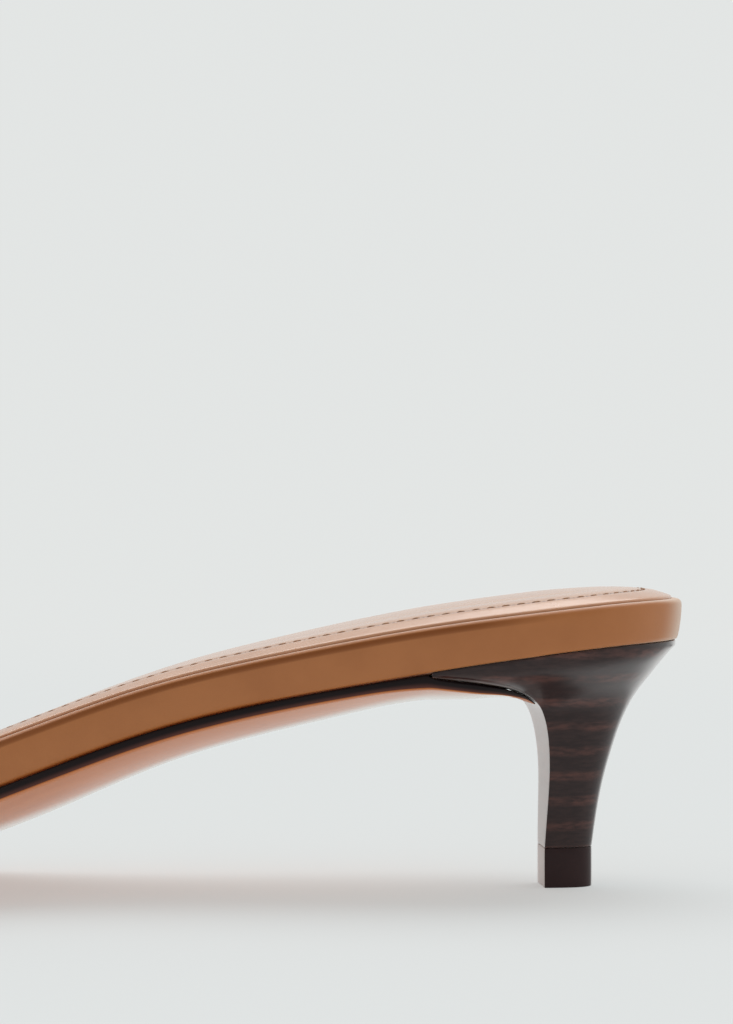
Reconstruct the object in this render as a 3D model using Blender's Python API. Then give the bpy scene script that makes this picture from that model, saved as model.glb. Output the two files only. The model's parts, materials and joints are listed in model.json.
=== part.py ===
"""One right-foot slide sandal on a kitten heel, modelled in metres at its real size.

+X points to the toe, +Y to the inner side of the foot and +Z up. The origin is on the floor under the
middle of the shoe. A station is the distance from the back of the heel towards the toe.
"""

from math import cos, pi, radians, sin, tan

import bmesh
import bpy
import numpy as np

# Main sizes of the shoe
LENGTH = 0.240  # back of the heel to the toe, level
BALL_WIDTH = 0.080
SEAT_WIDTH = 0.055  # footbed across the heel of the foot
SEAT_HEIGHT = 0.0541  # rim of the footbed above the floor, at the back
TOE_SPRING = 0.005
BALL_ANGLE = radians(20)  # the ball line runs back on the outer side
GAP = 0.0003  # between pieces that are cemented together

# Footbed: a board wrapped in leather
FOOTBED_THICK = 0.0077
SHOULDER_RADIUS = 0.0011
EDGE_DRAFT = 0.0008  # the wrapped edge leans in towards its foot
DRAFT_MIDDLE = 0.25  # part of the draft that is used up half way down
BELLY = 0.0055  # how far the underside of the waist is rounded down
WAIST_THINNER = 0.0006  # the edge is this much lower at the waist

# Padded sock on the footbed
SOCK_MARGIN = 0.0019  # bare rim left outside it
SOCK_EDGE = 0.0007
SOCK_CROWN = 0.0026

# Outsole
OUTSOLE_THICK = 0.0022
OUTSOLE_INSET = 0.0003  # inside the foot of the footbed's edge
TREAD_SINK = 0.0004  # the tread is ground flat by this much
FLAP_END_THICK = 0.0003

# Heel and its top piece
SEAT_LENGTH = 0.0498
HEEL_INSET = 0.0013
TIP_DEPTH = 0.0096
TIP_WIDTH = 0.0095
TIP_THICK = 0.0072
TIP_FRONT = 0.0264  # station of the tip's front face
TONGUE_END = 0.0007  # thickness of the seat's front edge
TONGUE_STEP = 0.0010  # length in which the outsole comes up again in front of it
TONGUE_REACH = 0.0100  # length in which the outsole's underside comes up

# Upper: one broad band over the foot
UPPER_WALL = 0.0018
UPPER_INSET = 0.0024  # from the footbed's edge to the band's outer face
UPPER_ROOT = 0.0032  # depth that the band's ends go into the footbed
SLOT_ROOM = 0.0008  # below them and at their two ends
INSTEP_HEIGHT = 0.049  # inside, above the rim

# How finely the pieces are drawn
OUTLINE_POINTS = 108
OUTSOLE_ROWS = 40
OUTSOLE_COLUMNS = 10
FLAP_ROWS = 10
HEEL_RINGS = 23
HEEL_SIDE_POINTS = 16
HEEL_FRONT_POINTS = 8
BAND_ROWS = 9
BAND_TURNS = 28
SMALL_STEP = 0.05  # between two heel sections, to find a direction
# Rings of the flat faces, as shares of the way from the middle line to the edge
BED_TOP_RINGS = (0.12, 0.45, 0.75)
BED_UNDER_RINGS = (1, 0.9, 0.75, 0.5, 0.3, 0.12)
SOCK_UNDER_RINGS = (0.12, 0.5, 1)
SOCK_TOP_RINGS = (0.93, 0.82, 0.66, 0.46, 0.28, 0.12)
SEAT_RINGS = (0.12, 0.4, 0.7, 1)


def table(names, *rows):
    """Columns by name, from a row for each section."""
    return dict(zip(names.split(), np.array(rows, float).T))


# Plan of the footbed: stations in lengths, centre in ball widths, half width in the width named there
OUTLINE = table(
    "station centre half_width",
    (0.00, 0.000, 0.500),
    (0.12, 0.000, 0.504),
    (0.21, -0.013, 0.457),
    (0.31, -0.040, 0.392),
    (0.41, -0.061, 0.359),
    (0.52, -0.050, 0.407),
    (0.62, -0.016, 0.481),
    (0.70, 0.002, 0.498),
    (0.78, 0.024, 0.477),
    (0.88, 0.048, 0.440),
    (1.00, 0.072, 0.400),
)
# Side line of the rim: how much of the seat's rise is left
SIDE_LINE = table(
    "station rise",
    (0.00, 1.000),
    (0.06, 0.990),
    (0.12, 0.957),
    (0.20, 0.899),
    (0.27, 0.829),
    (0.34, 0.748),
    (0.41, 0.650),
    (0.47, 0.533),
    (0.53, 0.396),
    (0.59, 0.249),
    (0.65, 0.112),
    (0.71, 0.023),
    (0.77, 0.000),
    (1.00, 0.000),
)
# Shares of the belly, of the waist's thinner edge and of the sock's crown that each station has
BED = table(
    "station belly thinner crown",
    (0.00, 0.00, 0.00, 0.95),
    (0.09, 0.00, 0.00, 0.95),
    (0.15, 0.30, 0.00, 0.95),
    (0.22, 0.67, 0.00, 0.84),
    (0.32, 0.93, 0.90, 0.62),
    (0.44, 1.00, 0.95, 0.54),
    (0.54, 0.96, 0.60, 0.64),
    (0.63, 0.40, 0.20, 0.80),
    (0.70, 0.00, 0.00, 0.90),
    (1.00, 0.00, 0.00, 0.90),
)
# Heel sections from the seat (0) to the tip (11). Front runs from the tip's front to the seat's front,
# back from the seat's back to the tip's back, heights from the tip's top to the seat, flare from the
# tip's half width to the seat's; seat_share is how far a section still has the seat's own shape.
HEEL = table(
    "station front front_height back back_height flare seat_share",
    (0, 0.757, 0.842, 0.138, 0.957, 0.444, 0.93),
    (1, 0.573, 0.820, 0.205, 0.924, 0.396, 0.81),
    (2, 0.411, 0.795, 0.283, 0.882, 0.371, 0.61),
    (3, 0.265, 0.765, 0.369, 0.831, 0.347, 0.40),
    (4, 0.162, 0.731, 0.463, 0.777, 0.310, 0.21),
    (5, 0.089, 0.695, 0.554, 0.716, 0.275, 0.08),
    (6, 0.040, 0.647, 0.633, 0.647, 0.243, 0.00),
    (7, 0.005, 0.570, 0.707, 0.570, 0.200, 0.00),
    (8, -0.018, 0.456, 0.792, 0.456, 0.149, 0.00),
    (9, -0.022, 0.319, 0.880, 0.319, 0.105, 0.00),
    (10, -0.011, 0.164, 0.948, 0.164, 0.062, 0.00),
    (11, 0.000, 0.000, 1.000, 0.000, 0.000, 0.00),
)
# Band over the foot: stations in lengths, heights in instep heights, the rest in ball widths
BAND = table(
    "station height ridge bulge",
    (0.54, 1.02, 0.090, 0.030),
    (0.62, 0.93, 0.100, 0.034),
    (0.70, 0.80, 0.110, 0.036),
    (0.78, 0.67, 0.115, 0.034),
    (0.86, 0.57, 0.115, 0.030),
)
BAND_BACK = 0.560  # stations of the band's edges at the footbed, in lengths
BAND_FRONT = 0.735
RIDGE_REACH = 0.016  # on top of the foot both edges lie this much further forward
BALL = 0.667
SEAT_END = 0.12
TOE_START = 0.76
TREAD_END = 0.80
FLAP_END = 4.5  # heel section where the outsole's flap runs out
FLAP_WIDTH = 0.94  # of the heel's front
FLAP_THICK = 0.8  # of the outsole, before it is skived away
WAIST_SKIVE = 0.2  # part of the outsole's thickness taken off where it meets the heel
TOE_SHAPE = 2.8  # exponents of the round forms: 2 is an ellipse, more is squarer
HEEL_SHAPE = 3.5
LAST_SIDE = 0.9  # below 1 the last's sides stand upright before they turn over the foot
LAST_TOP = 0.85

SOLE_STACK = FOOTBED_THICK + GAP + OUTSOLE_THICK
SEAT_UNDER = SEAT_HEIGHT - FOOTBED_THICK - GAP
TIP_TOP = TIP_THICK + GAP


def smooth(columns, name, at):
    """Natural cubic curve through a table's column, read at stations given in lengths."""
    knots = columns["station"]
    values = columns[name]
    steps = np.diff(knots)
    slopes = np.diff(values) / steps
    system = np.diag(2 * (steps[:-1] + steps[1:]))
    system += np.diag(steps[1:-1], 1) + np.diag(steps[1:-1], -1)
    bend = np.zeros(len(knots))
    bend[1:-1] = np.linalg.solve(system, 6 * np.diff(slopes))
    at = np.clip(at, knots[0], knots[-1])
    span = np.clip(np.searchsorted(knots, at, side="right") - 1, 0, len(steps) - 1)
    step = steps[span]
    ahead = knots[span + 1] - at
    behind = at - knots[span]
    cubic = bend[span] * (ahead**3 / step - ahead * step)
    cubic += bend[span + 1] * (behind**3 / step - behind * step)
    return cubic / 6 + (values[span] * ahead + values[span + 1] * behind) / step


def centre(station):
    return BALL_WIDTH * smooth(OUTLINE, "centre", station / LENGTH)


def half_width(station, inset=0.0):
    """Half the footbed's width inside an inset, with a round seat and an almond toe."""
    to_ball = np.clip((station / LENGTH - SEAT_END) / (BALL - SEAT_END), 0, 1)
    width = SEAT_WIDTH + (BALL_WIDTH - SEAT_WIDTH) * to_ball
    radius = SEAT_WIDTH / 2
    seat = np.clip((radius - station) / (radius - inset), 0, 1)
    toe_start = TOE_START * LENGTH
    toe = np.clip((station - toe_start) / (LENGTH - inset - toe_start), 0, 1)
    full = width * smooth(OUTLINE, "half_width", station / LENGTH) - inset
    return full * np.sqrt(1 - seat**2) * np.sqrt(1 - toe**TOE_SHAPE)


def rim_height(station, across):
    """Height of the footbed's rim; its outer side comes down first, because the ball line is oblique."""
    turn = tan(BALL_ANGLE) * np.clip(station / (BALL * LENGTH), 0, 1) ** 2
    along = (station - across * turn) / LENGTH
    rise = (SEAT_HEIGHT - SOLE_STACK + TREAD_SINK) * smooth(SIDE_LINE, "rise", along)
    spring = np.clip((along - TREAD_END) / (1 - TREAD_END), 0, None) ** 2
    return SOLE_STACK - TREAD_SINK + rise + TOE_SPRING * spring


def on_bed(station, across, depth):
    """Point at a depth below the rim, measured square to it in the side view; it has x, y and z."""
    station, across, depth = np.broadcast_arrays(station, across, depth)
    reach = LENGTH / 480
    slope = (rim_height(station + reach, across) - rim_height(station - reach, across)) / (2 * reach)
    lean = np.sqrt(1 + slope**2)
    x = station - LENGTH / 2 + depth * slope / lean
    z = rim_height(station, across) - depth / lean
    return np.stack([x, across, z], axis=-1)


def belly(station, across):
    """How much lower the rounded underside of the footbed is than its edge."""
    share = (across - centre(station)) / np.maximum(half_width(station), GAP)
    full = BELLY * np.clip(smooth(BED, "belly", station / LENGTH), 0, None)
    return full * np.clip(1 - share**2, 0, 1)


def edge_height(station):
    """Height of the footbed's upright edge, from the rim down."""
    return FOOTBED_THICK - WAIST_THINNER * np.clip(smooth(BED, "thinner", station / LENGTH), 0, 1)


def outline(inset):
    """Closed run of stations and offsets round the footbed, moved in by an inset."""
    turn = 2 * pi * np.arange(OUTLINE_POINTS) / OUTLINE_POINTS
    station = LENGTH / 2 * (1 - np.cos(turn))
    side = np.sign(np.round(np.sin(turn), 9))
    line = np.stack([station, centre(station) + side * half_width(station)], axis=1)
    along = np.roll(line, -1, axis=0) - np.roll(line, 1, axis=0)
    along /= np.linalg.norm(along, axis=1)[:, None]
    return line + inset * np.stack([along[:, 1], -along[:, 0]], axis=1)


def towards_spine(line, share):
    """An outline shrunk towards the footbed's middle line."""
    spine = np.clip(line[:, 0], SEAT_WIDTH / 2, LENGTH - SEAT_WIDTH / 2)
    middle = np.stack([spine, centre(spine)], axis=1)
    return middle + share * (line - middle)


def material(name, colour, roughness):
    made = bpy.data.materials.new(name)
    made.use_nodes = True
    shader = made.node_tree.nodes["Principled BSDF"]
    shader.inputs["Base Color"].default_value = (*colour, 1)
    shader.inputs["Roughness"].default_value = roughness
    made.diffuse_color = (*colour, 1)
    return made


def finish(name, bm, surface, flat_angle=radians(35)):
    """Puts a closed mesh into the scene as one named piece."""
    bmesh.ops.recalc_face_normals(bm, faces=bm.faces)
    mesh = bpy.data.meshes.new(name)
    bm.to_mesh(mesh)
    bm.free()
    piece = bpy.data.objects.new(name, mesh)
    bpy.context.scene.collection.objects.link(piece)
    if surface:
        mesh.materials.append(surface)
    mesh.shade_smooth()
    mesh.set_sharp_from_angle(angle=flat_angle)
    return piece


def skin(rings, cap):
    """Closed mesh over rings of points, each joined to the next; cap closes the first and last ring."""
    bm = bmesh.new()
    loops = [[bm.verts.new(point) for point in ring] for ring in rings]
    count = len(loops[0])
    for here, there in zip(loops, loops[1:]):
        for i in range(count):
            j = (i + 1) % count
            bm.faces.new((here[i], here[j], there[j], there[i]))
    cap(bm, loops[0])
    cap(bm, loops[-1])
    return bm


def close_across(bm, loop):
    """Strips from side to side of a loop that is the same on both sides of its first point."""
    count = len(loop)
    for i in range(count // 2):
        face = dict.fromkeys((loop[i], loop[i + 1], loop[-i - 1], loop[-i]))
        bm.faces.new(face)


def close_flat(bm, loop):
    bm.faces.new(loop)


def strip_solid(grid_below, grid_above):
    """Closed mesh between two grids of points with the same rows and columns."""
    rings = []
    for below, above in zip(grid_below, grid_above):
        rings.append([*below, *above[::-1]])
    return skin(rings, close_columns)


def close_columns(bm, loop):
    """Fills one end of a strip: its lower points are the first half, its upper points come back."""
    half = len(loop) // 2
    for i in range(half - 1):
        bm.faces.new((loop[i], loop[i + 1], loop[-i - 2], loop[-i - 1]))


def footbed():
    """The board in its leather: a round shoulder, an edge that leans in and a rounded underside."""
    shoulder = [radians(90 - 30 * i) for i in range(4)]
    edge = [
        (SHOULDER_RADIUS * (1 - cos(a)), SHOULDER_RADIUS * (1 - sin(a))) for a in shoulder
    ]
    foot_round = SHOULDER_RADIUS / 3
    rings = []
    for share in BED_TOP_RINGS:
        line = towards_spine(outline(SOCK_MARGIN), share)
        rings.append(on_bed(line[:, 0], line[:, 1], 0))
    for inset, depth in [(SOCK_MARGIN, 0), *edge]:
        line = outline(inset)
        rings.append(on_bed(line[:, 0], line[:, 1], depth))
    for inset, part, short in ((DRAFT_MIDDLE * EDGE_DRAFT, 0.5, 0), (EDGE_DRAFT, 1, foot_round)):
        line = outline(inset)
        rings.append(on_bed(line[:, 0], line[:, 1], part * edge_height(line[:, 0]) - short))
    for share in BED_UNDER_RINGS:
        line = towards_spine(outline(EDGE_DRAFT + foot_round), share)
        rings.append(under_footbed(line[:, 0], line[:, 1], 0))
    leather = material("wrapped_leather", (0.30, 0.137, 0.06), 0.42)
    return finish("footbed", skin(rings, close_across), leather)


def sock():
    """The padded sock: a thin edge that turns over into a low crown."""
    foot = SOCK_MARGIN + SOCK_EDGE / 3
    rings = []
    for share in SOCK_UNDER_RINGS:
        line = towards_spine(outline(foot), share)
        rings.append(on_bed(line[:, 0], line[:, 1], -GAP))
    for inset, height in ((0, 0.4), (0, 0.7), (0.45, 1)):
        line = outline(SOCK_MARGIN + inset * SOCK_EDGE)
        rings.append(on_bed(line[:, 0], line[:, 1], -GAP - height * SOCK_EDGE))
    for share in SOCK_TOP_RINGS:
        line = towards_spine(outline(SOCK_MARGIN + SOCK_EDGE), share)
        padding = smooth(BED, "crown", line[:, 0] / LENGTH)
        crown = (SOCK_CROWN - SOCK_EDGE) * padding * (1 - share**2)
        rings.append(on_bed(line[:, 0], line[:, 1], -GAP - SOCK_EDGE - crown))
    cover = material("sock_leather", (0.36, 0.17, 0.08), 0.36)
    return finish("insole", skin(rings, close_across), cover)


def under_footbed(station, across, gap):
    return on_bed(station, across, edge_height(station) + gap + belly(station, across))


def section_walk():
    """Positions round a heel section: from its back point forward, across its flat front and back again.

    Position is 1 at the back and 0 at the front, share is the part of the half width there.
    """
    side = np.sin(pi / 2 * np.linspace(1, 0, HEEL_SIDE_POINTS + 1))
    front = np.linspace(1, -1, HEEL_FRONT_POINTS + 1)[1:-1]
    position = np.concatenate([side, 0 * front, side[:0:-1]])
    share = np.concatenate([0 * side + 1, front, 0 * side[1:] - 1])
    return position, share


def seat_points(position, share):
    """Stations and offsets of the heel's seat, just inside the footbed's edge."""
    lean = SEAT_LENGTH - LENGTH / 2 - on_bed(SEAT_LENGTH, 0.0, FOOTBED_THICK)[0]
    front = SEAT_LENGTH + lean
    station = front + (HEEL_INSET - front) * position
    return station, centre(station) + share * half_width(station, HEEL_INSET)


def heel_section(ring, position, share):
    """Points of one heel section, between the seat's shape and a D with a flat front."""
    value = {name: smooth(HEEL, name, np.array(float(ring))) for name in HEEL}
    tip_back = TIP_FRONT - TIP_DEPTH
    front = TIP_FRONT + value["front"] * (SEAT_LENGTH - TIP_FRONT)
    back = value["back"] * tip_back
    low, high = TIP_TOP, SEAT_UNDER
    front_height = low + value["front_height"] * (high - low)
    back_height = low + value["back_height"] * (high - low)
    seat = float(np.clip(value["seat_share"], 0, 1))
    width = TIP_WIDTH / 2 + value["flare"] * (SEAT_WIDTH - TIP_WIDTH) / 2

    top_station, top_across = seat_points(position, share)
    top = on_bed(top_station, top_across, FOOTBED_THICK + GAP)
    top[:, 2] -= seat**2 * belly(top_station, top_across)
    ends = on_bed(seat_points(np.array([0.0, 1.0]), 0)[0], 0.0, FOOTBED_THICK + GAP)
    chord = ends[0, 2] + (ends[1, 2] - ends[0, 2]) * position
    x = front + (back - front) * position - LENGTH / 2
    x += seat * (top[:, 0] - top_station + LENGTH / 2)
    y = seat * top_across + (1 - seat) * share * width * np.sqrt(1 - position**HEEL_SHAPE)
    z = front_height + (back_height - front_height) * position + seat * (top[:, 2] - chord)
    return np.stack([x, y, z], axis=-1)


def heel():
    position, share = section_walk()
    station, across = seat_points(position, share)
    spine = np.clip(station, SEAT_WIDTH / 2, SEAT_LENGTH - SEAT_WIDTH / 5)
    rings = []
    for part in SEAT_RINGS:
        inner_station = spine + part * (station - spine)
        inner_across = centre(spine) + part * (across - centre(spine))
        rings.append(under_footbed(inner_station, inner_across, GAP))
    rings.append(under_footbed(station, across, GAP + TONGUE_END))
    for ring in np.linspace(0, HEEL["station"][-1], HEEL_RINGS):
        rings.append(heel_section(ring, position, share))
    stacked = material("stacked_leather", (0.045, 0.028, 0.024), 0.3)
    return finish("heel", skin(rings, close_across), stacked)


def top_piece():
    position, share = section_walk()
    rings = []
    for height in (0, TIP_THICK):
        ring = heel_section(HEEL["station"][-1], position, share)
        ring[:, 2] = height
        rings.append(ring)
    rubber = material("tip_rubber", (0.026, 0.015, 0.015), 0.4)
    return finish("top_piece", skin(rings, close_across), rubber)


def flap_rows(across):
    """Upper and lower points of the outsole's flap, which lies under the heel's front curve."""
    above, below = [], []
    full = FLAP_THICK * OUTSOLE_THICK - FLAP_END_THICK
    for ring in np.linspace(FLAP_END, 0, FLAP_ROWS):
        line = heel_section(ring, 0 * across, across * FLAP_WIDTH)
        step = heel_section(ring + SMALL_STEP, 0 * across, across * FLAP_WIDTH) - line
        step /= np.linalg.norm(step, axis=1)[:, None]
        away = np.stack([-step[:, 2], 0 * across, step[:, 0]], axis=1)
        thick = FLAP_END_THICK + full * sin(pi / 2 * (1 - ring / FLAP_END))
        above.append(line + GAP * away)
        below.append(line + (GAP + thick) * away)
    return above, below


def outsole():
    across = np.linspace(-1, 1, OUTSOLE_COLUMNS + 1)
    above, below = flap_rows(across)
    inset = EDGE_DRAFT + OUTSOLE_INSET
    start = seat_points(np.array([0.0]), 0)[0][0]
    end = LENGTH - inset
    stations = start + (end - start) * np.sin(pi / 2 * np.linspace(0, 1, OUTSOLE_ROWS))
    for station in (start, start + TONGUE_STEP, *stations[1:]):
        y = centre(station) + across * max(half_width(station, inset), GAP)
        step, rise = np.clip(1 - (station - start) / np.array((TONGUE_STEP, TONGUE_REACH)), 0, 1)
        skive = 1 - WAIST_SKIVE * np.clip(1 - (station - start) / SEAT_LENGTH, 0, 1)
        above.append(under_footbed(station + 0 * y, y, GAP + step * (GAP + TONGUE_END)))
        thick = skive * OUTSOLE_THICK + rise**2 * (GAP + TONGUE_END)
        lower = under_footbed(station + 0 * y, y, GAP + thick)
        lower[:, 2] = np.clip(lower[:, 2], 0, None)
        below.append(lower)
    sole = material("outsole_leather", (0.42, 0.22, 0.13), 0.25)
    return finish("outsole", strip_solid(below, above), sole, radians(50))


def beside_edge(station, side, inset):
    return centre(station) + side * half_width(station, inset)


def foot(station, turn):
    """Point of the last's top over a station; turn runs from 0 at the inner side to 1 at the outer."""
    inset = UPPER_INSET + UPPER_WALL
    inner, outer = beside_edge(station, 1, inset), beside_edge(station, -1, inset)
    along = cos(pi * turn)
    lift = sin(pi * turn) ** LAST_TOP
    full = np.sign(along) * abs(along) ** LAST_SIDE
    share = station / LENGTH
    y = (inner + outer) / 2 + full * (inner - outer) / 2
    y += BALL_WIDTH * smooth(BAND, "bulge", share) * full * sin(pi * lift)
    y += BALL_WIDTH * smooth(BAND, "ridge", share) * lift**2
    base = rim_height(station, np.clip(y, outer, inner))
    return station - LENGTH / 2, y, base + INSTEP_HEIGHT * smooth(BAND, "height", share) * lift


def upper():
    """The band: a sheet over the last with a leg at each end, given its wall outwards."""
    bm = bmesh.new()
    grid = []
    for i in range(BAND_ROWS + 1):
        base = LENGTH * (BAND_BACK + (BAND_FRONT - BAND_BACK) * i / BAND_ROWS)
        line = []
        for j in range(BAND_TURNS + 1):
            turn = j / BAND_TURNS
            station = base + RIDGE_REACH * sin(pi * turn)
            line.append(bm.verts.new(foot(station, turn)))
        for end in (0, -1):
            root = line[end].co.copy()
            root.z -= UPPER_ROOT
            line.insert(0 if end == 0 else len(line), bm.verts.new(root))
        grid.append(line)
    for here, there in zip(grid, grid[1:]):
        for i in range(len(here) - 1):
            bm.faces.new((here[i], here[i + 1], there[i + 1], there[i]))
    leather = material("upper_leather", (0.30, 0.137, 0.06), 0.42)
    piece = finish("upper", bm, leather)
    if piece.data.polygons[BAND_TURNS // 2].normal.z < 0:
        piece.data.flip_normals()
    wall = piece.modifiers.new("wall", "SOLIDIFY")
    wall.thickness = UPPER_WALL
    wall.offset = 1
    wall.use_even_offset = True
    return piece


def side_block(name, side, insets, heights):
    """Cutter along the band's end on one side, between two insets and two heights over the rim."""
    start, end = LENGTH * BAND_BACK - SLOT_ROOM, LENGTH * BAND_FRONT + SLOT_ROOM
    rings = []
    for station in np.linspace(start, end, 12):
        ring = []
        for inset, height in ((0, 0), (1, 0), (1, 1), (0, 1)):
            y = beside_edge(station, side, insets[inset])
            ring.append((station - LENGTH / 2, y, rim_height(station, y) + heights[height]))
        rings.append(ring)
    cutter = finish(name, skin(rings, close_flat), None)
    cutter.hide_render = True
    cutter.display_type = "WIRE"
    return cutter


def cut(piece, cutter):
    boolean = piece.modifiers.new(cutter.name, "BOOLEAN")
    boolean.operation = "DIFFERENCE"
    boolean.object = cutter


def clear_scene():
    for thing in list(bpy.data.objects):
        bpy.data.objects.remove(thing)


clear_scene()
bed = footbed()
insole = sock()
outsole()
heel()
top_piece()
upper()
band_room = (UPPER_INSET - GAP, UPPER_INSET + UPPER_WALL + GAP)
for side, side_name in ((1, "inner"), (-1, "outer")):
    slot = side_block(f"slot_{side_name}", side, band_room, (-UPPER_ROOT - SLOT_ROOM, UPPER_WALL))
    cut(bed, slot)
    notch_room = (SOCK_MARGIN / 2, UPPER_INSET + UPPER_WALL + GAP)
    notch = side_block(f"notch_{side_name}", side, notch_room, (-UPPER_WALL, 4 * UPPER_WALL))
    cut(insole, notch)
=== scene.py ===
"""Looks of a heeled slide sandal in tan leather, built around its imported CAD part.

The frame is in metres: +X points to the toe, +Y to the inner side of the foot and +Z up, with the floor
at zero. Each section below is one piece of the shoe, in the order in which a maker puts them together.
"""

import json
from math import cos, pi, radians, sin

import bmesh
import bpy
import numpy as np
from mathutils import Matrix, Vector
from mathutils.bvhtree import BVHTree
from mathutils.kdtree import KDTree

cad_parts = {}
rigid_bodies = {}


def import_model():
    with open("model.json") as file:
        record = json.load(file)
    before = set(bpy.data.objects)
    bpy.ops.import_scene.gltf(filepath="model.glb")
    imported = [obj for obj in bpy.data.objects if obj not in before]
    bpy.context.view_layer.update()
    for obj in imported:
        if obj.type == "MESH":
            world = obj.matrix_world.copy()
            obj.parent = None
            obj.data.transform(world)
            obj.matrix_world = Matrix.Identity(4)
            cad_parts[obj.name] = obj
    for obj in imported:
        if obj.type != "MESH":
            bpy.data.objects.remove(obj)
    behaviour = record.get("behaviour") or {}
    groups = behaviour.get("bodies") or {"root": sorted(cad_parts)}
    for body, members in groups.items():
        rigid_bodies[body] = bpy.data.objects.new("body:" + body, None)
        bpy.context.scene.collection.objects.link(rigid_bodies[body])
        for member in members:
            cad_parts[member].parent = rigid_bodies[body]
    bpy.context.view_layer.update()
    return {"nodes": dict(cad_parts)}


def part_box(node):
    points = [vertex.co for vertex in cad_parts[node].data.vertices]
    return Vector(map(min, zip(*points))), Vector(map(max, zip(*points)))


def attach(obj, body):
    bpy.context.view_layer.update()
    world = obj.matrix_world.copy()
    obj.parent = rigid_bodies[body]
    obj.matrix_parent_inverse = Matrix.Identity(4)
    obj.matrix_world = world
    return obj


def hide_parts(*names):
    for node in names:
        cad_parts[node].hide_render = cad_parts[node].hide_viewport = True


for thing in list(bpy.data.objects):
    bpy.data.objects.remove(thing)
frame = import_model()

# Camera
# The photograph is taken from the side that is modelled as the inner one, by a long lens that is level,
# just above the footbed and turned a little towards the heel. The frame cuts the shoe off behind its band.
CAMERA_PLACE = (-0.00506, 0.6012, 0.07015)
CAMERA_TURN = radians(5.286)
SENSOR = 36
FOCAL_LENGTH = 158.6
NEAREST = 0.01

lens = bpy.data.cameras.new("camera")
lens.sensor_fit = "HORIZONTAL"
lens.sensor_width = SENSOR
lens.lens = FOCAL_LENGTH
lens.clip_start = NEAREST
camera = bpy.data.objects.new("camera", lens)
camera.location = CAMERA_PLACE
camera.rotation_euler = (radians(90), 0, radians(180) - CAMERA_TURN)
bpy.context.scene.collection.objects.link(camera)
bpy.context.scene.camera = camera

# Studio
# A pale sweep with one broad soft light nearly overhead. The sweep is dimmer on the camera's side and
# towards the toe, so that the leather keeps its colour and its glossy faces pick up the brighter side.
SWEEP_COLOUR = (0.768, 0.787, 0.779)
FLOOR_COLOUR = (0.765, 0.785, 0.79)
FLOOR_RADIUS = 9
FLOOR_CORNERS = 96
FLOOR_GLOW = 0.50  # part of the near floor's light that it gives off itself, to keep the shadow pale
FADE_START = 0.45
FADE_END = 1.3
DIM_SIDE = (0.6, 0.8, 0.0)
DIM_RANGE = (-0.5, 0.7)  # how far a direction points to that side where the dimming starts and is full
DIM_SHARE = 0.52  # of the sweep's brightness
SUN_STRENGTH = 1.25
SUN_ANGLE = radians(55)
SUN_LEAN = radians(25)  # its shadow falls a little towards the camera
SUN_TURN = radians(8)  # and a little towards the toe


def add_node(tree, kind, inputs=(), **settings):
    """A node with its settings, and its inputs given as numbers, colours or other nodes' sockets."""
    node = tree.nodes.new(kind)
    for name, value in settings.items():
        setattr(node, name, value)
    for name, value in dict(inputs).items():
        if isinstance(value, bpy.types.NodeSocket):
            tree.links.new(value, node.inputs[name])
        else:
            node.inputs[name].default_value = value
    return node


def ramp_between(tree, value, low, high):
    """0 where the value is at low or under, 1 at high, and smooth between them."""
    ranges = {"Value": value, "From Min": low, "From Max": high}
    return add_node(tree, "ShaderNodeMapRange", ranges, interpolation_type="SMOOTHSTEP").outputs["Result"]


def mix_colours(tree, share, low, high, blend="MIX"):
    node = add_node(tree, "ShaderNodeMix", data_type="RGBA", blend_type=blend)
    for socket, value in zip((node.inputs[0], node.inputs[6], node.inputs[7]), (share, low, high)):
        if isinstance(value, bpy.types.NodeSocket):
            tree.links.new(value, socket)
        else:
            socket.default_value = (*value, 1) if isinstance(value, tuple) else value
    return node.outputs[2]


def studio_world():
    world = bpy.data.worlds.new("studio")
    world.use_nodes = True
    tree = world.node_tree
    tree.nodes.clear()
    direction = add_node(tree, "ShaderNodeTexCoord").outputs["Generated"]
    sides = {0: direction, 1: DIM_SIDE}
    towards = add_node(tree, "ShaderNodeVectorMath", sides, operation="DOT_PRODUCT").outputs["Value"]
    dim = tuple(DIM_SHARE * c for c in SWEEP_COLOUR)
    lighting = mix_colours(tree, ramp_between(tree, towards, *DIM_RANGE), SWEEP_COLOUR, dim)
    seen = add_node(tree, "ShaderNodeLightPath").outputs["Is Camera Ray"]
    colour = mix_colours(tree, seen, lighting, SWEEP_COLOUR)
    background = add_node(tree, "ShaderNodeBackground", {"Color": colour})
    output = add_node(tree, "ShaderNodeOutputWorld")
    tree.links.new(background.outputs[0], output.inputs[0])
    bpy.context.scene.world = world


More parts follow.
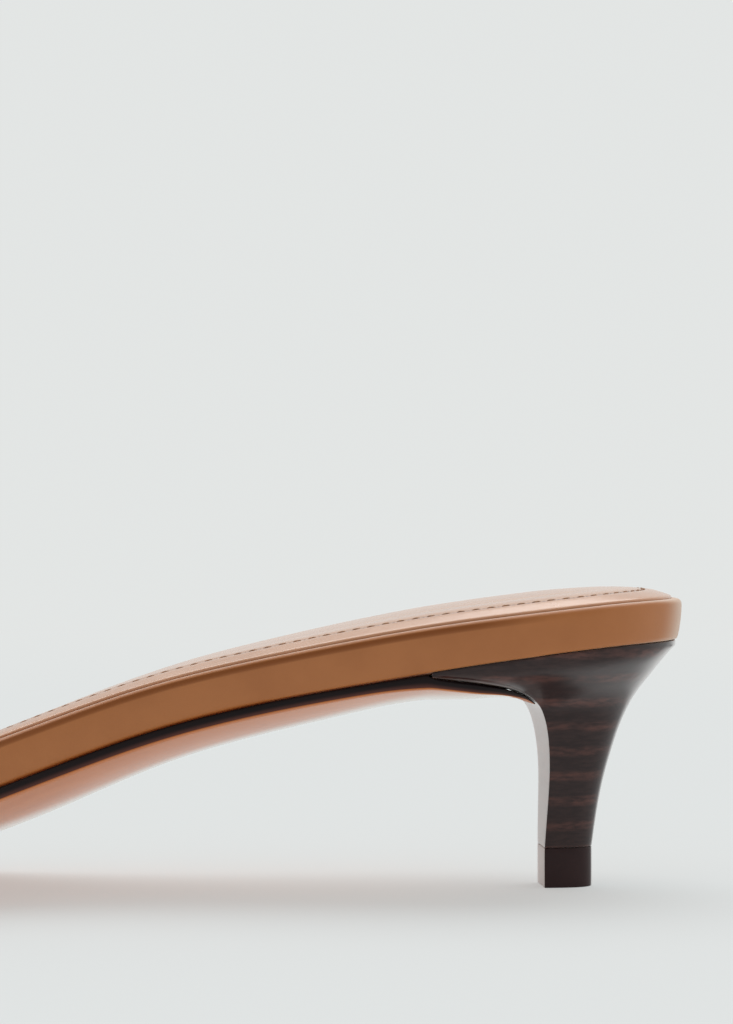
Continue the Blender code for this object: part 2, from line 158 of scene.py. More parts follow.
def studio_floor():
    """A disc whose far part takes on the colour of the sweep behind it, so that no horizon shows."""
    paper = bpy.data.materials.new("studio_paper")
    paper.use_nodes = True
    tree = paper.node_tree
    tree.nodes.clear()
    place = add_node(tree, "ShaderNodeTexCoord").outputs["Object"]
    away = add_node(tree, "ShaderNodeVectorMath", {0: place}, operation="LENGTH").outputs["Value"]
    fade = {"Value": away, "From Min": FADE_START, "From Max": FADE_END, "To Min": FLOOR_GLOW}
    far = add_node(tree, "ShaderNodeMapRange", fade, interpolation_type="SMOOTHSTEP").outputs["Result"]
    near = add_node(tree, "ShaderNodeBsdfDiffuse", {"Color": (*FLOOR_COLOUR, 1)})
    glow = add_node(tree, "ShaderNodeEmission", {"Color": (*SWEEP_COLOUR, 1)})
    both = add_node(tree, "ShaderNodeMixShader", {0: far, 1: near.outputs[0], 2: glow.outputs[0]})
    output = add_node(tree, "ShaderNodeOutputMaterial")
    tree.links.new(both.outputs[0], output.inputs[0])
    bm = bmesh.new()
    bmesh.ops.create_circle(bm, cap_ends=True, segments=FLOOR_CORNERS, radius=FLOOR_RADIUS)
    mesh = bpy.data.meshes.new("studio_floor")
    bm.to_mesh(mesh)
    bm.free()
    mesh.materials.append(paper)
    floor = bpy.data.objects.new("studio_floor", mesh)
    bpy.context.scene.collection.objects.link(floor)


def overhead_light():
    sun = bpy.data.lights.new("overhead", "SUN")
    sun.energy = SUN_STRENGTH
    sun.angle = SUN_ANGLE
    lamp = bpy.data.objects.new("overhead", sun)
    lamp.rotation_euler = (SUN_LEAN, -SUN_TURN, 0)
    bpy.context.scene.collection.objects.link(lamp)


studio_world()
studio_floor()
overhead_light()
bpy.context.scene.view_settings.view_transform = "Standard"

# Footbed
# A stiff board with smooth tan leather pulled over its edge and cemented underneath. Only its upright edge,
# its round shoulder and a narrow rim round the sock are seen. A narrow strip just under the shoulder is
# coloured darker.
MERGE = 2e-6
QUAD_ANGLES = (radians(30), radians(60))  # how far two joined triangles may bend, and leave a square
HARD_EDGE = radians(40)  # a heel's or sole's edge that bends more than this is a sharp one
FOLD = radians(60)  # an edge in leather that bends more than this stays sharp
FOOT_EDGE = radians(45)  # where the wrapped edge is folded under, which is rounded
FACING_DOWN = -0.6  # a face whose normal is lower belongs to an underside
SHOULDER_NORMALS = (0.4, 0.75)  # heights of the normals on the round shoulder
UPRIGHT_NORMALS = 0.3  # their greatest height on the upright edge
RIM_NORMALS = 0.6  # and their least on the shoulder's upper side
LEATHER_TAN = (0.490, 0.172, 0.045)
LEATHER_DEEP = (0.445, 0.150, 0.036)
LEATHER_TONES = (0.3, 0.7)  # values of the cloudy noise between which the two tones mix
# Painted reflection: a pale colour mixed into the leather where it is seen edge on.
LEATHER_PAINTED_REFLECTION = (0.68, 0.46, 0.33)  # where the eye only grazes the leather
LEATHER_GRAZED = (0.52, 0.90)  # from square on, 0, to edge on, 1: where that starts and is full
LEATHER_ROUGHNESS = 0.42
ROUGHNESS_SPREAD = 0.05
UNDER_SHOULDER_DARK = (0.262, 0.066, 0.001)  # of the darker strip just under the shoulder
DARK_STRIP_FROM = (-0.0003, 0.0001)  # below the shoulder: where the dark strip starts and is full
DARK_STRIP_TO = (0.0010, 0.0003)  # where it ends and is still full
DARK_STRIP_FADES = (-0.096, -0.074)  # along the shoe: the seat has none
BED_EDGE_ROUND = 0.0003
GRAIN_CELLS = 2600  # to a metre
GRAIN_DEPTH = 0.000012
PORES_FINER = 2.3  # pores to one cell
CLOUD_WIDER = 0.035  # clouds to one cell


def merged_copy(node):
    """A CAD node's mesh as a bmesh of its own: merged, and its triangles joined into quads."""
    bm = bmesh.new()
    bm.from_mesh(frame["nodes"][node].data)
    bmesh.ops.remove_doubles(bm, verts=bm.verts, dist=MERGE)
    flat, square = QUAD_ANGLES
    bmesh.ops.join_triangles(bm, faces=bm.faces, angle_face_threshold=flat, angle_shape_threshold=square)
    bm.edges.layers.float.new("crease_edge")
    bm.normal_update()
    return bm


def sharp_edges(bm, angle):
    return [edge for edge in bm.edges if edge.is_manifold and edge.calc_face_angle() > angle]


def crease_edges(bm, edges, hold=1.0):
    """Keeps these edges sharp when the piece is smoothed."""
    layer = bm.edges.layers.float["crease_edge"]
    for edge in edges:
        edge[layer] = hold


def round_edges(bm, edges, width, segments=2):
    bmesh.ops.bevel(
        bm, geom=edges, offset=width, affect="EDGES", segments=segments, profile=0.5, material=-1
    )


def place_piece(bm, name, surfaces, node=None, fineness=0):
    """Puts a finished bmesh into the scene as a piece that moves with the shoe."""
    mesh = bpy.data.meshes.new(name)
    bm.to_mesh(mesh)
    bm.free()
    piece = bpy.data.objects.new(name, mesh)
    bpy.context.scene.collection.objects.link(piece)
    for surface in surfaces:
        mesh.materials.append(surface)
    mesh.shade_smooth()
    if fineness:
        smoother = piece.modifiers.new("smoother", "SUBSURF")
        smoother.levels = smoother.render_levels = fineness
    if node:
        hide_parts(node)
    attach(piece, "root")
    return piece


def leather_group():
    """Grain of smooth calf leather: cells and pores as a height, and a slow cloudy change of tone."""
    group = bpy.data.node_groups.new("calf_grain", "ShaderNodeTree")
    for name, kind, way in (
        ("Position", "NodeSocketVector", "INPUT"),
        ("Cells", "NodeSocketFloat", "INPUT"),
        ("Height", "NodeSocketFloat", "OUTPUT"),
        ("Cloud", "NodeSocketFloat", "OUTPUT"),
    ):
        group.interface.new_socket(name=name, in_out=way, socket_type=kind)
    given = add_node(group, "NodeGroupInput").outputs
    place, cells = given["Position"], given["Cells"]
    walls = add_node(group, "ShaderNodeTexVoronoi", {"Vector": place, "Scale": cells}, feature="SMOOTH_F1")
    finer = add_node(group, "ShaderNodeMath", {0: cells, 1: PORES_FINER}, operation="MULTIPLY").outputs[0]
    pores = add_node(group, "ShaderNodeTexNoise", {"Vector": place, "Scale": finer, "Detail": 3.0})
    wider = add_node(group, "ShaderNodeMath", {0: cells, 1: CLOUD_WIDER}, operation="MULTIPLY").outputs[0]
    cloud = add_node(group, "ShaderNodeTexNoise", {"Vector": place, "Scale": wider, "Detail": 4.0})
    height = {0: walls.outputs["Distance"], 1: pores.outputs["Fac"]}
    height = add_node(group, "ShaderNodeMath", height, operation="ADD").outputs[0]
    add_node(group, "NodeGroupOutput", {"Height": height, "Cloud": cloud.outputs["Fac"]})
    return group


calf_grain = leather_group()


def object_place(tree, stretch=(1, 1, 1)):
    place = add_node(tree, "ShaderNodeTexCoord").outputs["Object"]
    return add_node(tree, "ShaderNodeMapping", {"Vector": place, "Scale": stretch}).outputs[0]


def grain_of(tree, cells, stretch=(1, 1, 1)):
    """The leather's grain in a material, on the piece's own coordinates."""
    grain = add_node(tree, "ShaderNodeGroup", node_tree=calf_grain)
    tree.links.new(object_place(tree, stretch), grain.inputs["Position"])
    grain.inputs["Cells"].default_value = cells
    return grain.outputs["Height"], grain.outputs["Cloud"]


def attribute_of(tree, name):
    return add_node(tree, "ShaderNodeAttribute", attribute_name=name).outputs["Fac"]


def new_material(name, settings):
    """A material, its node tree and its Principled shader, with plain values on the shader's sockets."""
    made = bpy.data.materials.new(name)
    made.use_nodes = True
    shader = made.node_tree.nodes["Principled BSDF"]
    for socket, value in settings.items():
        shader.inputs[socket].default_value = value
    return made, made.node_tree, shader


def finish_shader(tree, shader, colour, roughness, height, depth):
    """Joins a colour, a pair of roughnesses over a mask and a bump to a shader."""
    tree.links.new(colour, shader.inputs["Base Color"])
    mask, low, high = roughness
    dull = add_node(tree, "ShaderNodeMapRange", {"Value": mask, "To Min": low, "To Max": high})
    tree.links.new(dull.outputs["Result"], shader.inputs["Roughness"])
    bump = add_node(tree, "ShaderNodeBump", {"Height": height, "Distance": depth})
    tree.links.new(bump.outputs["Normal"], shader.inputs["Normal"])


def add_painted_reflection(tree, colour, pale, start, end):
    """A colour that turns paler where the surface is seen at a grazing angle: a painted reflection of the
    bright sweep.
    """
    grazing = add_node(tree, "ShaderNodeLayerWeight", {"Blend": 0.5}).outputs["Facing"]
    return mix_colours(tree, ramp_between(tree, grazing, start, end), colour, pale)


def tan_leather(name, colours, roughness, mask=None, dark=UNDER_SHOULDER_DARK, painted_reflection=LEATHER_PAINTED_REFLECTION, settings=()):
    """Smooth calf leather in two close tones; a mask made in the material's tree brings in a dark one."""
    made, tree, shader = new_material(name, dict(settings))
    height, cloud = grain_of(tree, GRAIN_CELLS)
    colour = mix_colours(tree, ramp_between(tree, cloud, *LEATHER_TONES), *colours)
    if mask:
        colour = mix_colours(tree, mask(tree), colour, dark)
    # Painted reflection of the sweep, mixed in where the leather is seen edge on.
    if painted_reflection:
        colour = add_painted_reflection(tree, colour, painted_reflection, *LEATHER_GRAZED)
    smoother, rougher = roughness - ROUGHNESS_SPREAD, roughness + ROUGHNESS_SPREAD
    finish_shader(tree, shader, colour, (cloud, smoother, rougher), height, GRAIN_DEPTH)
    return made


def times(tree, first, second):
    return add_node(tree, "ShaderNodeMath", {0: first, 1: second}, operation="MULTIPLY").outputs[0]


def dark_strip_under_shoulder(tree):
    """1 in the narrow strip right below the shoulder, fading out downwards and towards the seat."""
    below = attribute_of(tree, "below_shoulder")
    strip = times(
        tree,
        ramp_between(tree, below, *DARK_STRIP_FROM),
        ramp_between(tree, below, *DARK_STRIP_TO),
    )
    place = add_node(tree, "ShaderNodeTexCoord").outputs["Object"]
    along = add_node(tree, "ShaderNodeSeparateXYZ", {"Vector": place}).outputs["X"]
    return times(tree, strip, ramp_between(tree, along, *DARK_STRIP_FADES))


def set_attribute(mesh, name, values):
    layer = mesh.attributes.new(name, "FLOAT", "POINT")
    layer.data.foreach_set("value", np.asarray(values, np.float32))


def distances(points, line):
    """How far each point is from the nearest point of a line."""
    points, line = (np.pad(p, ((0, 0), (0, 3 - p.shape[1]))) for p in (points, line))
    tree = KDTree(len(line))
    for i, place in enumerate(line):
        tree.insert(place, i)
    tree.balance()
    return np.array([tree.find(point)[2] for point in points])


def smooth_step(value, low, high):
    share = np.clip((value - low) / (high - low), 0, 1)
    return share * share * (3 - 2 * share)


bm = merged_copy("footbed")
foot_edges = [
    edge for edge in sharp_edges(bm, FOOT_EDGE)
    if sum(face.normal.z < FACING_DOWN for face in edge.link_faces) == 1
]
round_edges(bm, foot_edges, BED_EDGE_ROUND)
bm.normal_update()
crease_edges(bm, sharp_edges(bm, FOLD))
bed_points = np.array([v.co for v in bm.verts])
bed_up = np.array([v.normal.z for v in bm.verts])
shoulder = bed_points[(bed_up > SHOULDER_NORMALS[0]) & (bed_up < SHOULDER_NORMALS[1])]
upright = bed_points[abs(bed_up) < UPRIGHT_NORMALS][:, :2]
below_shoulder = distances(bed_points, shoulder) * np.where(bed_up < RIM_NORMALS, 1, -1)
leather_tones = (LEATHER_DEEP, LEATHER_TAN)
bed_leather = tan_leather("wrapped_leather", leather_tones, LEATHER_ROUGHNESS, dark_strip_under_shoulder)
bed = place_piece(bm, "wrapped_footbed", [bed_leather], "footbed", fineness=1)
set_attribute(bed.data, "below_shoulder", below_shoulder)

# Outsole
# A leather sole, skived thin at the waist, whose flap runs down the front of the heel. Its edge is inked
# and waxed nearly black, and its underside is left in the leather's own colour and polished.
SOLE_LIGHT = (0.71, 0.255, 0.092)
SOLE_DEEP = (0.64, 0.218, 0.074)
EDGE_INK = (0.0070, 0.0028, 0.0033)
EDGE_WAX = (0.012, 0.0055, 0.0060)
# Painted light: the inked edge is coloured paler brown towards its lower corner, as if lit from below.
EDGE_LIT_BELOW = (0.100, 0.034, 0.026)  # down towards its lower corner
EDGE_CORNER = (0.55, 0.17, 0.045)
EDGE_TONES = (0.35, 0.7)
LIT_BELOW_RANGE = (0.45, 0.9)  # from the edge's upper line, 0, to its lower corner, 1
CORNER_RANGE = (0.88, 0.96)
EDGE_STREAKS = (1, 1, 5)
EDGE_ROUGHNESS = (0.4, 0.55)
EDGE_POLISH = {"Specular IOR Level": 0.2}
SOLE_PAINTED_REFLECTION = (0.93, 0.84, 0.75)
SOLE_GRAZED = (0.82, 0.94)
SOLE_ROUGHNESS = (0.26, 0.36)
SOLE_POLISH = {"Coat Weight": 1.0, "Coat Roughness": 0.14, "Coat IOR": 1.65, "Specular IOR Level": 0.0}
SOLE_FIBRES = (1, 4, 4)  # the leather's fibres run along the shoe
SOLE_CELLS = 900
SOLE_FIBRE_DEPTH = 0.00001
EDGE_HOLD = 0.75  # of a full crease
EDGE_NORMALS = 0.6  # how far sideways a face of the sole's edge points, at least
TOE_NORMALS = (-0.7, 0.5)  # round the toe: heights of its normal
FLAP_INKED = 0.0045  # length of the flap's thin end that is inked as well


def polished_sole():
    made, tree, shader = new_material("sole_leather", SOLE_POLISH)
    height, cloud = grain_of(tree, SOLE_CELLS, SOLE_FIBRES)
    colour = mix_colours(tree, ramp_between(tree, cloud, *LEATHER_TONES), SOLE_DEEP, SOLE_LIGHT)
    # Painted reflection: the underside turns pale where it is seen edge on, as if mirroring the bright
    # floor.
    colour = add_painted_reflection(tree, colour, SOLE_PAINTED_REFLECTION, *SOLE_GRAZED)
    finish_shader(tree, shader, colour, (cloud, *SOLE_ROUGHNESS), height, SOLE_FIBRE_DEPTH)
    return made


def inked_edge():
    made, tree, shader = new_material("edge_ink", EDGE_POLISH)
    height, cloud = grain_of(tree, SOLE_CELLS, EDGE_STREAKS)
    colour = mix_colours(tree, ramp_between(tree, cloud, *EDGE_TONES), EDGE_INK, EDGE_WAX)
    downwards = attribute_of(tree, "downwards")
    # Painted light from below: paler brown towards the edge's lower corner.
    colour = mix_colours(tree, ramp_between(tree, downwards, *LIT_BELOW_RANGE), colour, EDGE_LIT_BELOW)
    colour = mix_colours(tree, ramp_between(tree, downwards, *CORNER_RANGE), colour, EDGE_CORNER)
    finish_shader(tree, shader, colour, (cloud, *EDGE_ROUGHNESS), height, SOLE_FIBRE_DEPTH)
    return made


def on_sole_edge(face, flap_end, toe_start):
    """The upright faces round the sole, at its sides and at the toe, and the thin end of its flap."""
    station = face.calc_center_median().x
    lowest, highest = TOE_NORMALS
    at_toe = station > toe_start and lowest < face.normal.z < highest
    return abs(face.normal.y) > EDGE_NORMALS or at_toe or station < flap_end


bm = merged_copy("outsole")
flap_end, toe_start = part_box("outsole")[0].x + FLAP_INKED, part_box("upper")[1].x
for face in bm.faces:
    face.material_index = int(on_sole_edge(face, flap_end, toe_start))
crease_edges(bm, sharp_edges(bm, HARD_EDGE), EDGE_HOLD)
downwards = [v.normal.z < 0 for v in bm.verts]
surfaces = [polished_sole(), inked_edge()]
sole = place_piece(bm, "leather_outsole", surfaces, "outsole", fineness=2)
set_attribute(sole.data, "downwards", downwards)

# Heel
# A slim heel covered in stacked-leather veneer: its lifts lie level, one on another, and show as soft
# reddish bands on dark brown. It is waxed and burnished to a gloss.
LIFT = 0.00468  # from one reddish band to the next
LIFT_DARK = (0.021, 0.0092, 0.0090)
LIFT_BROWN = (0.035, 0.0165, 0.0152)
LIFT_RED = (0.112, 0.044, 0.035)
LIFT_WAVER = 0.6
LIFT_FINENESS = 1.4
LIFT_RANGE = (0.5, 1.0)  # the part of each wave that is reddish
WAVE_RATE = 20  # Blender's wave texture turns by this many radians for 1 of its scale
FIBRES = (420, 420, 1700)  # cells to a metre: short and level
FIBRE_TONES = (0.3, 0.7)
FIBRE_BREAKS = (0.15, 0.75)  # the bands break up along the fibres
PATCH_CELLS = 130.0
PATCH_RANGE = (0.2, 0.6)  # and fade from place to place
HEEL_GLOSS = {"Coat Weight": 0.5, "Coat Roughness": 0.2, "Specular IOR Level": 0.1}
HEEL_PAINTED_REFLECTION = (0.80, 0.76, 0.75)
HEEL_GRAZED = (0.64, 1.0)
HEEL_ROUGHNESS = (0.24, 0.40)
SEAT_CEMENT = 0.00025  # left between the two solids, and closed here
SEAT_NORMALS = 0.25  # how far up a point of the heel's seat faces, at least
HEEL_EDGE_ROUND = 0.00015


def stacked_veneer():
    made, tree, shader = new_material("stacked_heel", HEEL_GLOSS)
    place = object_place(tree)
    wave = {
        "Vector": place,
        "Scale": 2 * pi / (WAVE_RATE * LIFT),
        "Distortion": LIFT_WAVER,
        "Detail": 3.0,
        "Detail Scale": LIFT_FINENESS,
    }
    lifts = add_node(tree, "ShaderNodeTexWave", wave, bands_direction="Z").outputs["Fac"]
    fibres = add_node(
        tree, "ShaderNodeTexNoise", {"Vector": object_place(tree, FIBRES), "Scale": 1.0, "Detail": 5.0}
    ).outputs["Fac"]
    patches = add_node(tree, "ShaderNodeTexNoise", {"Vector": place, "Scale": PATCH_CELLS}).outputs["Fac"]
    ground = mix_colours(tree, ramp_between(tree, fibres, *FIBRE_TONES), LIFT_DARK, LIFT_BROWN)
    band = times(tree, ramp_between(tree, lifts, *LIFT_RANGE), ramp_between(tree, fibres, *FIBRE_BREAKS))
    reddish = times(tree, band, ramp_between(tree, patches, *PATCH_RANGE))
    colour = mix_colours(tree, reddish, ground, LIFT_RED)
    # Painted reflection: the veneer turns pale grey where it is seen edge on.
    colour = add_painted_reflection(tree, colour, HEEL_PAINTED_REFLECTION, *HEEL_GRAZED)
    finish_shader(tree, shader, colour, (fibres, *HEEL_ROUGHNESS), fibres, SOLE_FIBRE_DEPTH)
    return made


bm = merged_copy("heel")
for vert in bm.verts:
    if vert.normal.z > SEAT_NORMALS:
        vert.co.z += SEAT_CEMENT
round_edges(bm, sharp_edges(bm, HARD_EDGE), HEEL_EDGE_ROUND)
place_piece(bm, "stacked_heel_block", [stacked_veneer()], "heel", fineness=2)

# Top piece
# The hard rubber piece that the heel walks on, nailed and cemented under it and trimmed flush. Its sides
# are buffed to a dull sheen.
RUBBER = (0.024, 0.0085, 0.0085)
RUBBER_WORN = (0.030, 0.0115, 0.0115)
RUBBER_TONES = (0.35, 0.65)
RUBBER_CELLS = 5000
RUBBER_DEPTH = 0.000005
RUBBER_ROUGHNESS = (0.32, 0.48)
TIP_GRAZED = (0.64, 0.95)
TIP_GLOSS = {"Coat Weight": 0.25, "Coat Roughness": 0.2, "Specular IOR Level": 0.1}
TIP_EDGE_ROUND = 0.00012
TIP_CEMENT = 0.00027  # left between the two solids, and closed here


def buffed_rubber():
    made, tree, shader = new_material("tip_rubber", TIP_GLOSS)
    height, cloud = grain_of(tree, RUBBER_CELLS)
    colour = mix_colours(tree, ramp_between(tree, cloud, *RUBBER_TONES), RUBBER, RUBBER_WORN)
    # Painted reflection: the rubber turns pale grey where it is seen edge on.
    colour = add_painted_reflection(tree, colour, HEEL_PAINTED_REFLECTION, *TIP_GRAZED)
    finish_shader(tree, shader, colour, (cloud, *RUBBER_ROUGHNESS), height, RUBBER_DEPTH)
    return made


bm = merged_copy("top_piece")
for vert in bm.verts:
    vert.co.z += TIP_CEMENT * (vert.co.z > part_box("top_piece")[1].z / 2)
round_edges(bm, sharp_edges(bm, HARD_EDGE), TIP_EDGE_ROUND)
place_piece(bm, "heel_tip", [buffed_rubber()], "top_piece", fineness=1)

# Sock
# A padded sock of polished tan leather, coloured paler than the footbed's edge, sewn through its foam round
# the whole footbed and cemented down. Its row of stitches pulls the leather into a narrow channel between
# soft swells.
OUTLINE_STEP = 0.0005
OUTLINE_SPREAD = 13  # points that are averaged into one
TANGENT_REACH = 3  # points to each side that give the outline's direction
STITCH_INSET = 0.0070  # from the footbed's edge
CHANNEL_WIDTH = 0.0007
CHANNEL_DEPTH = 0.00020
CHANNEL_SHADE = 0.25  # painted shade in the stitch channel: this part of the cut edge's colour
SWELL_HEIGHT = 0.0003
SWELL_INSETS = (0.0022, 0.0060, 0.0090, 0.0160)  # where it starts, is full, is still full and ends
CEMENT = 0.00030  # left between the two solids, and closed here
EDGE_SINK = 0.00055  # the sock's edge is pressed down this far
SINK_HEIGHTS = (5 * CEMENT, 2 * CEMENT)  # above the rim: where that starts and is full
# The sock's foot is coloured towards the dark cut edge: partly its own cut edge, partly painted shade in
# the thin gap over the rim, more so round the seat.
RIM_SHADE_HEIGHTS = (2.2 * CEMENT, 1.2 * CEMENT)  # where the cut edge's colour starts and is full
RIM_SIDE_SHADE = 0.12  # part of that colour along the sides
SEAT_GAP_SHADE = 0.6  # and this much more round the seat
SEAT_FADE = (-0.080, -0.100)  # where along the shoe the seat's part starts and is full
TOP_NORMALS = (0.5, 0.8)  # heights of the normal between which the sock's edge turns into its top
SOCK_FINENESS = 3
SOCK_EDGE_HOLD = 0.35
SOCK_TAN = (0.66, 0.340, 0.190)
SOCK_DEEP = (0.61, 0.300, 0.160)
# The dark cut edge's colour, also used for painted shade on the sock and in the needle holes.
CUT_EDGE_AND_SHADE = (0.060, 0.020, 0.010)
SOCK_ROUGHNESS = 0.26
SOCK_POLISH = {"Coat Weight": 0.45, "Coat Roughness": 0.16}


def walked_along(line):
    """How far it is along a line of points to each of them."""
    return np.concatenate([[0], np.cumsum(np.linalg.norm(np.diff(line, axis=0), axis=1))])


def evened(values, width, ends):
    """Values along a row, each averaged with its neighbours; ends is how the row goes on, as in np.pad."""
    spread = np.hanning(width) / np.hanning(width).sum()
    return np.convolve(np.pad(values, width // 2, ends), spread, "valid")


def plan_outline():
    """Evenly spaced points round the footbed's upright edge, seen from above, and the way inwards."""
    line = upright[np.argsort(np.arctan2(upright[:, 1], upright[:, 0]))]
    line = np.vstack([line, line[:1]])
    walked = walked_along(line)
    steps = np.arange(0, walked[-1], OUTLINE_STEP)
    line = np.stack([np.interp(steps, walked, line[:, axis]) for axis in (0, 1)], axis=1)
    line = np.stack([evened(line[:, axis], OUTLINE_SPREAD, "wrap") for axis in (0, 1)], axis=1)
    along = np.roll(line, -TANGENT_REACH, axis=0) - np.roll(line, TANGENT_REACH, axis=0)
    along /= np.linalg.norm(along, axis=1)[:, None]
    return line, np.stack([-along[:, 1], along[:, 0]], axis=1)


def settle(piece):
    """Turns a piece's modifiers into its own mesh."""
    solved = piece.evaluated_get(bpy.context.evaluated_depsgraph_get())
    old = piece.data
    piece.data = bpy.data.meshes.new_from_object(solved)
    piece.modifiers.clear()
    bpy.data.meshes.remove(old)


def mesh_points(mesh, source, name):
    values = np.empty(len(source) * 3, np.float32)
    source.foreach_get(name, values)
    return values.reshape(-1, 3).astype(float)


def tree_of(piece):
    bm = bmesh.new()
    bm.from_object(piece, bpy.context.evaluated_depsgraph_get())
    found = BVHTree.FromBMesh(bm)
    bm.free()
    return found


def straight_down(tree, x, y):
    """Where a line dropped from above meets a piece, and the piece's normal there."""
    return tree.ray_cast(Vector((x, y, 1)), Vector((0, 0, -1)))[:2]


bed_line, bed_inwards = plan_outline()
bm = merged_copy("insole")
for edge in sharp_edges(bm, FOLD):
    under = min(face.normal.z for face in edge.link_faces) < FACING_DOWN
    crease_edges(bm, [edge], 1 if under else SOCK_EDGE_HOLD)
sock_leather = tan_leather(
    "sock_leather",
    (SOCK_DEEP, SOCK_TAN),
    SOCK_ROUGHNESS,
    lambda tree: attribute_of(tree, "sock_edge_and_shade"),
    CUT_EDGE_AND_SHADE,
    None,
    SOCK_POLISH,
)
sock = place_piece(bm, "padded_sock", [sock_leather], "insole", fineness=SOCK_FINENESS)
settle(sock)
points = mesh_points(sock.data, sock.data.vertices, "co")
faces_up = mesh_points(sock.data, sock.data.vertex_normals, "vector")[:, 2]
inside = distances(points[:, :2], bed_line)
bed_tree = tree_of(bed)
rim = [straight_down(bed_tree, x, y)[0] for x, y, _ in points]
above_rim = np.array([z - place.z if place else 0 for (_, _, z), place in zip(points, rim)])
channel = np.exp(-(((inside - STITCH_INSET) / CHANNEL_WIDTH) ** 2))
start, full, leave, end = SWELL_INSETS
swell = smooth_step(inside, start, full) * smooth_step(inside, end, leave)
on_top = smooth_step(faces_up, *TOP_NORMALS)
points[:, 2] += on_top * (SWELL_HEIGHT * swell - CHANNEL_DEPTH * channel)
sink = EDGE_SINK * smooth_step(above_rim, *SINK_HEIGHTS)
points[:, 2] -= np.minimum(sink, np.clip(above_rim, 0, None))
sock.data.vertices.foreach_set("co", points.astype(np.float32).ravel())
# Painted shade in the stitch channel and in the gap at the sock's foot, which also carries its dark cut
# edge.
rim_edge_and_shade = smooth_step(above_rim, *RIM_SHADE_HEIGHTS)
rim_edge_and_shade *= RIM_SIDE_SHADE + SEAT_GAP_SHADE * smooth_step(points[:, 0], *SEAT_FADE)
set_attribute(sock.data, "sock_edge_and_shade", np.maximum(CHANNEL_SHADE * channel * on_top, rim_edge_and_shade))

# Topstitching
# One row of stout tan thread round the sock, about nine stitches to the inch. Each stitch lies in the
# channel, and its ends go down through needle holes.
STITCH_PITCH = 0.00275
STITCH_LENGTH = 0.0017
THREAD_WIDTH = 0.00056
THREAD_SINK = 0.00002
HOLE_WIDTH = 0.00050
HOLE_HEIGHT = THREAD_WIDTH / 8
THREAD_LIGHT = (0.46, 0.215, 0.090)
THREAD_DEEP = (0.30, 0.125, 0.045)
THREAD_TWIST = 2600  # turns to a metre
THREAD_WAVER = 0.6
THREAD_ROUGHNESS = (0.6, 0.5)
THREAD_RELIEF = 0.00004
HOLE_ROUGHNESS = (0.7, 0.9)
HOLE_SHADE = (0.035, 0.013, 0.007)


def waxed_thread():
    made, tree, shader = new_material("thread", {"Sheen Weight": 0.2})
    scale = 2 * pi * THREAD_TWIST / WAVE_RATE
    wave = {"Vector": object_place(tree), "Scale": scale, "Distortion": THREAD_WAVER}
    twist = add_node(tree, "ShaderNodeTexWave", wave, bands_direction="DIAGONAL").outputs["Fac"]
    colour = mix_colours(tree, twist, THREAD_DEEP, THREAD_LIGHT)
    finish_shader(tree, shader, colour, (twist, *THREAD_ROUGHNESS), twist, THREAD_RELIEF)
    return made


# The needle holes are dark flat discs laid on the sock: painted shade where the holes would be.
def painted_hole_shade():
    made, tree, shader = new_material("painted_hole_shade", {})
    height, cloud = grain_of(tree, RUBBER_CELLS)
    colour = mix_colours(tree, cloud, HOLE_SHADE, CUT_EDGE_AND_SHADE)
    finish_shader(tree, shader, colour, (cloud, *HOLE_ROUGHNESS), height, GRAIN_DEPTH)
    return made


def small_form():
    """Points and faces of a round form of unit size, of which every stitch and hole is a copy."""
    bm = bmesh.new()
    bmesh.ops.create_uvsphere(bm, u_segments=8, v_segments=6, radius=1)
    bm.verts.index_update()
    found = [v.co.copy() for v in bm.verts], [[v.index for v in f.verts] for f in bm.faces]
    bm.free()
    return found


def add_stitch(bm, place, along, normal, length, material, height):
    """One stitch or hole: a small round form laid along a row, on the surface with this normal."""
    across = normal.cross(along).normalized()
    turn = Matrix((across.cross(normal), across, normal)).transposed()
    turn @= Matrix.Diagonal((length / 2, THREAD_WIDTH / 2, height / 2))
    form_points, form_faces = form
    made = [bm.verts.new(place + turn @ point) for point in form_points]
    for corners in form_faces:
        bm.faces.new([made[i] for i in corners]).material_index = material


def sew_row(bm, row_points, row_normals):
    """Stitches with a hole between each two, evenly spaced along a row of close points."""
    row_points, row_normals = np.asarray(row_points), np.asarray(row_normals)
    walked = walked_along(row_points)
    count = int(walked[-1] / STITCH_PITCH)
    for i in range(2 * count):
        at = (i + 0.5) * walked[-1] / (2 * count)
        place, ahead, normal = (
            Vector(np.interp(value, walked, column[:, axis]) for axis in range(3))
            for value, column in ((at, row_points), (at + STITCH_LENGTH / 2, row_points), (at, row_normals))
        )
        normal.normalize()
        along = (ahead - place).normalized()
        if i % 2 == 0:
            add_stitch(bm, place - THREAD_SINK * normal, along, normal, STITCH_LENGTH, 0, THREAD_WIDTH)
        else:
            add_stitch(bm, place, along, normal, HOLE_WIDTH, 1, HOLE_HEIGHT)


form = small_form()
thread, hole = waxed_thread(), painted_hole_shade()
sock_tree = tree_of(sock)
row_plan = bed_line + STITCH_INSET * bed_inwards
row_plan = np.vstack([row_plan, row_plan[:1]])
bm = bmesh.new()
sew_row(bm, *zip(*(straight_down(sock_tree, x, y) for x, y in row_plan)))
place_piece(bm, "sock_topstitching", [thread, hole])

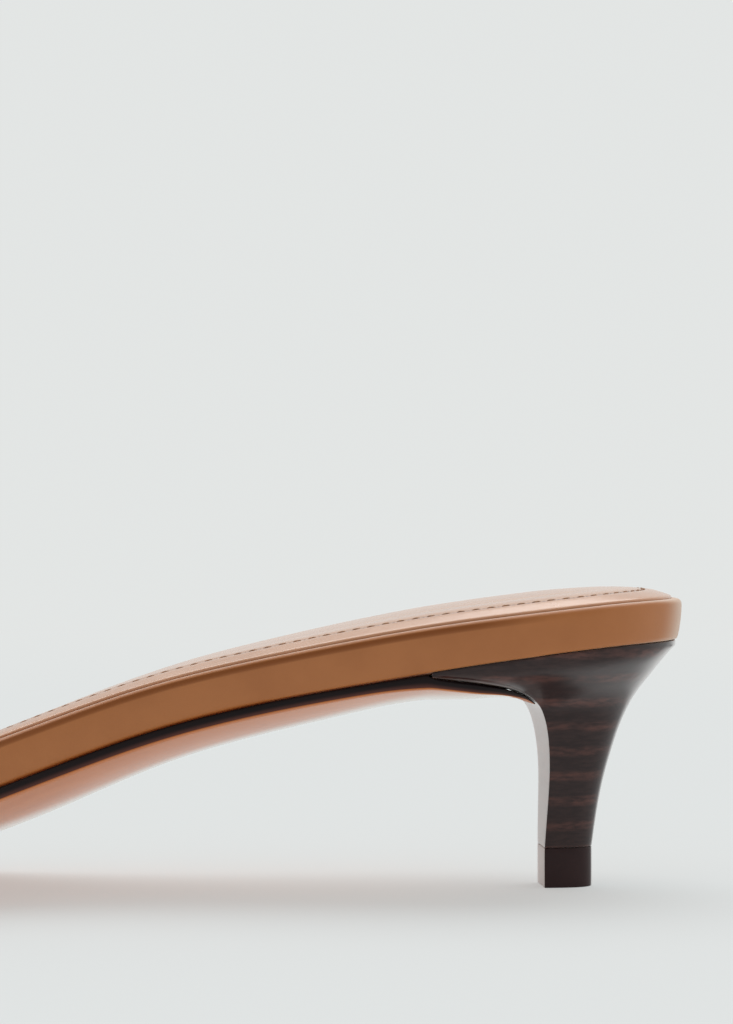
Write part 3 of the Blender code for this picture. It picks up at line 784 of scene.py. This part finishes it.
# Upper
# One broad band of the same leather, folded over at both edges and lined, whose ends go down into slots
# in the footbed. It lies outside the photograph, so it is kept plain, with a row of stitches at each edge.
BAND_FOLD = radians(50)
BAND_EDGE_ROUND = 0.0006
LINING = (0.50, 0.33, 0.20)
LINING_DEEP = (0.44, 0.28, 0.165)
LINING_ROUGHNESS = (0.55, 0.7)
LINING_AIM = 0.25  # the lining faces a line at this part of the band's height
LINING_NORMALS = 0.35  # how squarely it does, at least
BAND_ROW_INSET = 0.0024
BAND_TURNS = 90  # points of a row, from one side over the foot to the other
BAND_TURN_START = radians(3)
BAND_STEP = 0.00025
BAND_SPREAD = 9  # points that are averaged into one
RAY_REACH = 0.2


def band_lining():
    made, tree, shader = new_material("band_lining", {"Sheen Weight": 0.15})
    height, cloud = grain_of(tree, GRAIN_CELLS)
    colour = mix_colours(tree, ramp_between(tree, cloud, *LEATHER_TONES), LINING_DEEP, LINING)
    finish_shader(tree, shader, colour, (cloud, *LINING_ROUGHNESS), height, GRAIN_DEPTH)
    return made


bm = merged_copy("upper")
low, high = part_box("upper")
axis_y = (low.y + high.y) / 2
aim_z = low.z + LINING_AIM * (high.z - low.z)
for face in bm.faces:
    middle = face.calc_center_median()
    towards_foot = Vector((0, axis_y - middle.y, aim_z - middle.z))
    face.material_index = int(face.normal.dot(towards_foot.normalized()) > LINING_NORMALS)
round_edges(bm, sharp_edges(bm, BAND_FOLD), BAND_EDGE_ROUND, 3)
band_leather = tan_leather("band_leather", leather_tones, LEATHER_ROUGHNESS)
band = place_piece(bm, "band_over_foot", [band_leather, band_lining()], "upper", fineness=2)
band_tree = tree_of(band)


def onto_band(x, turn):
    """Where a ray that comes in square to the shoe's length meets the band from outside, if it does."""
    axis = straight_down(sock_tree, x, axis_y)[0]
    outwards = Vector((0, cos(turn), sin(turn)))
    return band_tree.ray_cast(axis + RAY_REACH * outwards, -outwards, RAY_REACH)[:2]


def band_row(from_back):
    """Points and normals of a row at the band's back or front edge, from the inner side to the outer."""
    turns = np.linspace(BAND_TURN_START, pi - BAND_TURN_START, BAND_TURNS)
    stations = np.arange(low.x, high.x, BAND_STEP)[:: 1 if from_back else -1]
    edge = [next(x for x in stations if onto_band(x, turn)[0]) for turn in turns]
    edge = evened(edge, BAND_SPREAD, "edge")
    inset = BAND_ROW_INSET if from_back else -BAND_ROW_INSET
    return zip(*(onto_band(x + inset, turn) for x, turn in zip(edge, turns)))


bm = bmesh.new()
for from_back in (True, False):
    sew_row(bm, *band_row(from_back))
place_piece(bm, "band_topstitching", [thread, hole])
